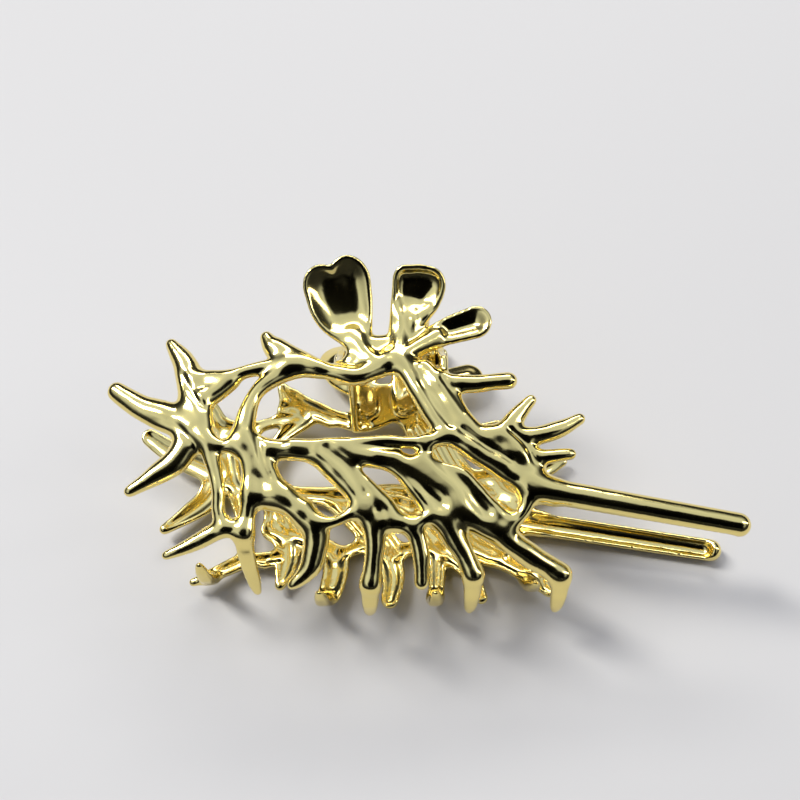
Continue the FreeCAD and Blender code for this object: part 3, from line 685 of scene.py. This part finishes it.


# --- materials ---------------------------------------------------------------------------------------------
# Where a mesh has the point attribute "inner", its metal is rougher, and it is painted a warmer, darker gold
# that stands in for light bounced between the jaws.
SATIN_ROUGHNESS = 0.34
PAINTED_BOUNCE_TINT = (0.92, 0.79, 0.32)
CLOUD_TINT = (0.97, 0.955, 0.9)


def tinted(colour, tint):
    """A colour times a tint, as RGBA."""
    return (colour[0] * tint[0], colour[1] * tint[1], colour[2] * tint[2], 1)


def metal_material(name, colour, roughness, spread, mark_scale):
    """Polished plating: even colour with a faint cloud, a painted warmer, darker gold on the inner faces in
    place of light bounced between the jaws, and roughness that varies with the polishing.
    """
    material = bpy.data.materials.new(name)
    material.use_nodes = True
    nodes, links = material.node_tree.nodes, material.node_tree.links
    shader = nodes["Principled BSDF"]
    shader.inputs["Metallic"].default_value = 1.0
    place = nodes.new("ShaderNodeTexCoord")
    cloud = nodes.new("ShaderNodeTexNoise")
    cloud.inputs["Scale"].default_value = mark_scale
    cloud.inputs["Detail"].default_value = 4
    links.new(place.outputs["Object"], cloud.inputs["Vector"])
    tint = nodes.new("ShaderNodeValToRGB")
    tint.color_ramp.elements[0].position = 0.3
    tint.color_ramp.elements[0].color = tinted(colour, CLOUD_TINT)
    tint.color_ramp.elements[1].position = 0.7
    tint.color_ramp.elements[1].color = (*colour, 1)
    links.new(cloud.outputs["Fac"], tint.inputs["Fac"])
    inner = nodes.new("ShaderNodeAttribute")
    inner.attribute_name = "inner"
    # painted reflection and shade: the inner faces are mixed towards a warmer, darker gold in place of light
    # bounced between the jaws
    painted_bounce_mix = nodes.new("ShaderNodeMix")
    painted_bounce_mix.data_type = "RGBA"
    painted_bounce_mix.inputs["B"].default_value = tinted(colour, PAINTED_BOUNCE_TINT)
    links.new(inner.outputs["Fac"], painted_bounce_mix.inputs["Factor"])
    links.new(tint.outputs["Color"], painted_bounce_mix.inputs["A"])
    links.new(painted_bounce_mix.outputs["Result"], shader.inputs["Base Color"])
    polish = nodes.new("ShaderNodeMapRange")
    polish.inputs["From Min"].default_value = 0.3
    polish.inputs["From Max"].default_value = 0.7
    polish.inputs["To Min"].default_value = roughness
    polish.inputs["To Max"].default_value = roughness + spread
    links.new(cloud.outputs["Fac"], polish.inputs["Value"])
    grain = nodes.new("ShaderNodeMath")
    grain.operation = "MULTIPLY_ADD"
    grain.inputs[1].default_value = SATIN_ROUGHNESS
    links.new(inner.outputs["Fac"], grain.inputs[0])
    links.new(polish.outputs["Result"], grain.inputs[2])
    links.new(grain.outputs["Value"], shader.inputs["Roughness"])
    ripple = nodes.new("ShaderNodeTexNoise")
    ripple.inputs["Scale"].default_value = 220
    ripple.inputs["Detail"].default_value = 1
    links.new(place.outputs["Object"], ripple.inputs["Vector"])
    bump = nodes.new("ShaderNodeBump")
    bump.inputs["Strength"].default_value = 0.12
    bump.inputs["Distance"].default_value = 0.0004
    links.new(ripple.outputs["Fac"], bump.inputs["Height"])
    links.new(bump.outputs["Normal"], shader.inputs["Normal"])
    return material


# --- the stage ---------------------------------------------------------------------------------------------
# How the camera is tipped and rolled against the clip's plan, and its place in mm along its own axes.
CAMERA_TILT = math.radians(-22.17)
CAMERA_ROLL = math.radians(2.71)
CAMERA_PLACE = (-3.92, 20.83, 162.7)

FLOOR_HALF_SIZE = 2.5
FLOOR_COLOUR = (0.575, 0.555, 0.52, 1)

# Lamps as name, place, (width, height) and watts. All point at the middle of the table.
LAMPS = [
    ("lamp_back_left", (-1.35, 0.9, 2.1), (0.5, 1.3), 60),
    ("lamp_back", (0.15, 1.4, 1.1), (1.3, 0.35), 11),
    ("lamp_right", (0.55, 0.0, 0.35), (0.1, 0.5), 0.8),
]

# The room's brightness by the height looked at, the tint of its light, and the dark patch behind the viewer.
ROOM_STOPS = ((0.0, 0.02), (0.30, 0.02), (0.46, 0.06), (0.60, 0.42), (0.76, 0.78), (1.0, 0.60))
ROOM_TINT = (0.9, 1.0, 1.3)
PATCH_MIDDLE = (0.12, -0.57, 0.81)
PATCH_OUTER = 0.64
PATCH_INNER = 0.74
PATCH_RAGGEDNESS = 0.3


def add_camera():
    """The camera looks down on the front jaw from the teeth's side."""
    turn = (Matrix.Rotation(CAMERA_ROLL, 4, "Z") @ Matrix.Rotation(CAMERA_TILT, 4, "X")).transposed()
    world = REST @ (turn @ Matrix.Translation(Vector(CAMERA_PLACE)))
    facing = world.to_3x3().normalized().to_quaternion()
    data = bpy.data.cameras.new("camera")
    data.lens = 45
    data.sensor_width = 36
    data.clip_start = 0.01
    camera = bpy.data.objects.new("camera", data)
    bpy.context.scene.collection.objects.link(camera)
    camera.matrix_world = Matrix.LocRotScale(world.translation, facing, None)
    bpy.context.scene.camera = camera


def add_floor():
    """A plain pale table top."""
    mesh = bpy.data.meshes.new("floor")
    size = FLOOR_HALF_SIZE
    corners = [(-size, -size, 0), (size, -size, 0), (size, size, 0), (-size, size, 0)]
    mesh.from_pydata(corners, [], [(0, 1, 2, 3)])
    floor = bpy.data.objects.new("floor", mesh)
    bpy.context.scene.collection.objects.link(floor)
    material = bpy.data.materials.new("pale_floor")
    material.use_nodes = True
    shader = material.node_tree.nodes["Principled BSDF"]
    shader.inputs["Base Color"].default_value = FLOOR_COLOUR
    shader.inputs["Roughness"].default_value = 0.6
    mesh.materials.append(material)


def add_softbox(name, place, size, watts):
    """A rectangular area lamp that points at the middle of the table."""
    light = bpy.data.lights.new(name, "AREA")
    light.shape = "RECTANGLE"
    light.size, light.size_y = size
    light.energy = watts
    obj = bpy.data.objects.new(name, light)
    bpy.context.scene.collection.objects.link(obj)
    obj.location = place
    obj.rotation_euler = (-Vector(place)).to_track_quat("-Z", "Y").to_euler()


def add_world():
    """A dim room: dark near the horizon and in a ragged patch behind the viewer, grey elsewhere."""
    world = bpy.data.worlds.new("studio")
    bpy.context.scene.world = world
    world.use_nodes = True
    nodes, links = world.node_tree.nodes, world.node_tree.links
    place = nodes.new("ShaderNodeTexCoord")
    parts = nodes.new("ShaderNodeSeparateXYZ")
    links.new(place.outputs["Generated"], parts.inputs["Vector"])
    sky = nodes.new("ShaderNodeValToRGB")
    ramp = sky.color_ramp
    ramp.elements[0].position = ROOM_STOPS[0][0]
    ramp.elements[1].position = ROOM_STOPS[-1][0]
    for position, _ in ROOM_STOPS[1:-1]:
        ramp.elements.new(position)
    for element, (_, grey) in zip(ramp.elements, ROOM_STOPS):
        element.color = tinted((grey, grey, grey), ROOM_TINT)
    links.new(parts.outputs["Z"], sky.inputs["Fac"])
    viewer = nodes.new("ShaderNodeVectorMath")
    viewer.operation = "DOT_PRODUCT"
    viewer.inputs[1].default_value = PATCH_MIDDLE
    links.new(place.outputs["Generated"], viewer.inputs[0])
    clutter = nodes.new("ShaderNodeTexNoise")
    clutter.inputs["Scale"].default_value = 3.0
    clutter.inputs["Detail"].default_value = 2
    links.new(place.outputs["Generated"], clutter.inputs["Vector"])
    edge = nodes.new("ShaderNodeMath")
    edge.operation = "MULTIPLY_ADD"
    edge.inputs[1].default_value = -PATCH_RAGGEDNESS
    links.new(clutter.outputs["Fac"], edge.inputs[0])
    links.new(viewer.outputs["Value"], edge.inputs[2])
    shade = nodes.new("ShaderNodeMapRange")
    shade.interpolation_type = "SMOOTHSTEP"
    shade.inputs["From Min"].default_value = PATCH_OUTER
    shade.inputs["From Max"].default_value = PATCH_INNER
    shade.inputs["To Min"].default_value = 1.0
    shade.inputs["To Max"].default_value = 0.0
    links.new(edge.outputs["Value"], shade.inputs["Value"])
    links.new(sky.outputs["Color"], nodes["Background"].inputs["Color"])
    links.new(shade.outputs["Result"], nodes["Background"].inputs["Strength"])


# --- the pieces --------------------------------------------------------------------------------------------
# Each jaw: its body, its own branches, its teeth, the left faces of its lugs, and the way it faces.
JAWS = [
    ("front", FRONT_BRANCHES, FRONT_TEETH, (-13.4, 3.8), 1),
    ("rear", REAR_BRANCHES, REAR_TEETH, (-11.9, 2.3), -1),
]


def add_jaws():
    """Both castings, in one and the same plating."""
    gold = metal_material("gold_plating", (0.95, 0.81, 0.34), 0.04, 0.05, 60)
    for body, branches, teeth, lugs, side in JAWS:
        jaw = field_mesh(f"{body}_casting", jaw_field(branches, teeth, lugs), side < 0)
        mark_inner(jaw, REST.to_3x3() @ Vector((0, 0, side)))
        jaw.data.materials.append(gold)
        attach(jaw, body)
        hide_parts(f"{body}_jaw")


def add_hinge():
    """The pin, which stays with the rear jaw, and the spring, which turns from one jaw to the other."""
    pin = make_pin()
    pin.data.materials.append(metal_material("pin_plating", (0.9, 0.8, 0.45), 0.12, 0.1, 400))
    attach(pin, "rear")
    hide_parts("hinge_pin")
    spring = make_spring()
    spring.data.materials.append(metal_material("wire_plating", (0.88, 0.74, 0.38), 0.14, 0.1, 500))
    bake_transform(spring)
    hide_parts("torsion_spring")


def main():
    """The stage, then the clip."""
    bpy.context.scene.view_settings.view_transform = "Standard"
    add_camera()
    add_floor()
    add_world()
    for lamp in LAMPS:
        add_softbox(*lamp)
    add_jaws()
    add_hinge()


main()
